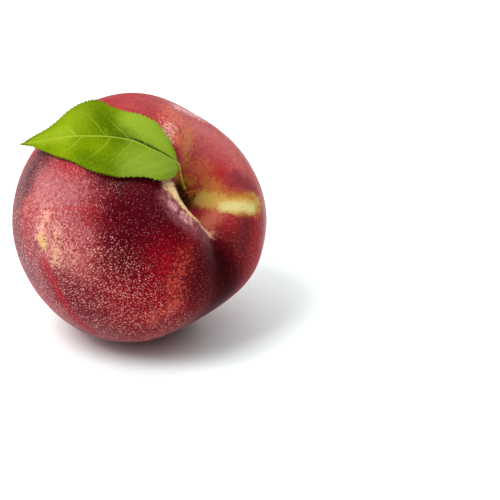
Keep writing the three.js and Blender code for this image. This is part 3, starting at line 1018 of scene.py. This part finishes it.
def build_leaf_stalk(settings):
    """The thin stalk, as a tube along the leaf's line into the base of the midrib."""
    line = Line([Vector(point) * MM + FRUIT_MIDDLE for point in LEAF_LINE])
    curve = bpy.data.curves.new("leaf_stalk", "CURVE")
    curve.dimensions = "3D"
    curve.bevel_depth = settings.stalk_width / 2
    curve.bevel_resolution = 5
    curve.use_fill_caps = True
    spline = curve.splines.new("POLY")
    spline.points.add(STALK_STEPS)
    for i, point in enumerate(spline.points):
        part = (STALK_SHARE + STALK_OVERLAP) * i / STALK_STEPS
        sink = STALK_SINK * smoothstep(part, STALK_SHARE - 0.03, STALK_SHARE + 0.01)
        point.co = (*(line.at(part) - FACE_AT_BASE * sink), 1)
        thinner = smoothstep(part, STALK_SHARE - 0.02, STALK_SHARE + STALK_OVERLAP)
        point.radius = 1 - 0.75 * thinner
        point.radius *= 1 + 0.35 * smoothstep(part, 0.03, 0.0)
    stalk = bpy.data.objects.new("leaf_stalk", curve)
    bpy.context.scene.collection.objects.link(stalk)
    work_on(stalk)
    bpy.ops.object.convert(target="MESH")
    return bpy.context.object


class BuildLeaf(bpy.types.Operator):
    """Builds the toothed blade and the thin stalk that holds it"""

    bl_idname = "nectarine.build_leaf"
    bl_label = "Build leaf"

    def execute(self, context):
        settings = context.scene.nectarine_leaf
        deselect_all()
        bpy.ops.mesh.primitive_grid_add(
            x_subdivisions=BLADE_STEPS[0], y_subdivisions=BLADE_STEPS[1], size=2, calc_uvs=True
        )
        blade = bpy.context.object
        blade.name = blade.data.name = "leaf_blade"
        shape_blade(blade, settings)
        apply_modifier(blade, "SOLIDIFY", thickness=settings.thickness, offset=-1, use_rim=True)
        hand_over(blade, blade_material(settings), ["leaf"])
        hand_over(build_leaf_stalk(settings), leaf_stalk_material(settings))
        return {"FINISHED"}


# --- the stage

def pale_room(bright, dim):
    """A room that is bright overhead and behind the fruit and dim in front of it.

    Its backdrop looks white wherever it is seen straight."""
    world = bpy.data.worlds.new("pale_room")
    world.use_nodes = True
    wire = Wiring(world.node_tree)
    way = wire.node("ShaderNodeTexCoord", output="Generated")
    light = wire.ramp(wire.vector("DOT_PRODUCT", way, BRIGHT_WAY), 0.0, 0.9, dim, bright)
    seen = wire.node("ShaderNodeLightPath", output="Is Camera Ray")
    white = wire.times(seen, wire.math("SUBTRACT", 1.0, light))
    background = world.node_tree.nodes["Background"].inputs
    background["Color"].default_value = (1, 1, 1, 1)
    wire.feed(background["Strength"], wire.add(light, white))
    return world


def add_lamp(name, place, side, watts):
    """A square soft lamp that points at the fruit."""
    bpy.ops.object.light_add(type="AREA", location=place)
    lamp = bpy.context.object
    lamp.name = name
    lamp.data.energy = watts
    lamp.data.size = side
    lamp.rotation_euler = (FRUIT_MIDDLE - lamp.location).to_track_quat("-Z", "Y").to_euler()


def add_floor(paint):
    bpy.ops.mesh.primitive_plane_add(size=FLOOR_SIDE)
    floor = bpy.context.object
    floor.name = floor.data.name = "floor"
    material, _, shader = new_material("pale_floor")
    shader.inputs["Base Color"].default_value = (*paint, 1)
    shader.inputs["Roughness"].default_value = 0.8
    floor.data.materials.append(material)


def add_camera():
    """A camera that sees the fruit's middle at its pixel, at the right scale."""
    look = Vector((0, math.cos(CAMERA_ELEVATION), -math.sin(CAMERA_ELEVATION)))
    up = Vector((0, math.sin(CAMERA_ELEVATION), math.cos(CAMERA_ELEVATION)))
    centre = PICTURE_SIDE / 2
    pixel = MM_PER_PIXEL * MM
    target = FRUIT_MIDDLE + Vector((centre - FRUIT_PIXEL[0], 0, 0)) * pixel
    target += up * (FRUIT_PIXEL[1] - centre) * pixel
    bpy.ops.object.camera_add(location=target - look * CAMERA_DISTANCE)
    camera = bpy.context.object
    camera.rotation_euler = look.to_track_quat("-Z", "Y").to_euler()
    camera.data.sensor_width = SENSOR
    camera.data.lens = SENSOR * CAMERA_DISTANCE / (PICTURE_SIDE * pixel)
    bpy.context.scene.camera = camera


class SetStage(bpy.types.Operator):
    """Sets the floor, the soft light and the camera"""

    bl_idname = "nectarine.set_stage"
    bl_label = "Set stage"

    def execute(self, context):
        settings = context.scene.nectarine_stage
        deselect_all()
        add_floor(settings.floor)
        context.scene.world = pale_room(settings.room_light, settings.front_light)
        add_lamp("top_lamp", *TOP_LAMP, settings.top_power)
        add_lamp("right_lamp", *RIGHT_LAMP, settings.right_power)
        add_lamp("left_lamp", *LEFT_LAMP, settings.left_power)
        add_camera()
        context.scene.view_settings.view_transform = "Standard"
        return {"FINISHED"}


# --- the add-on

class NectarinePanel(bpy.types.Panel):
    bl_idname = "VIEW3D_PT_nectarine"
    bl_label = "Nectarine"
    bl_space_type = "VIEW_3D"
    bl_region_type = "UI"
    bl_category = "Nectarine"

    def draw(self, context):
        for operator, group in STEPS:
            self.layout.operator(operator.bl_idname)
            settings = getattr(context.scene, group)
            for name in settings.bl_rna.properties.keys():
                if name not in ("rna_type", "name"):
                    self.layout.prop(settings, name)


SETTINGS = {
    "nectarine_skin": NectarineSkin,
    "nectarine_stalk_end": NectarineStalkEnd,
    "nectarine_leaf": NectarineLeaf,
    "nectarine_stage": NectarineStage,
}
STEPS = (
    (BuildFruit, "nectarine_skin"),
    (BuildStalkEnd, "nectarine_stalk_end"),
    (BuildLeaf, "nectarine_leaf"),
    (SetStage, "nectarine_stage"),
)


def register():
    for name, group in SETTINGS.items():
        bpy.utils.register_class(group)
        setattr(bpy.types.Scene, name, bpy.props.PointerProperty(type=group))
    for operator, _ in STEPS:
        bpy.utils.register_class(operator)
    bpy.utils.register_class(NectarinePanel)


def unregister():
    bpy.utils.unregister_class(NectarinePanel)
    for operator, _ in reversed(STEPS):
        bpy.utils.unregister_class(operator)
    for name, group in reversed(SETTINGS.items()):
        delattr(bpy.types.Scene, name)
        bpy.utils.unregister_class(group)


def main():
    register()
    bpy.ops.nectarine.build_fruit()
    bpy.ops.nectarine.build_stalk_end()
    bpy.ops.nectarine.build_leaf()
    bpy.ops.nectarine.set_stage()


if __name__ == "__main__":
    main()
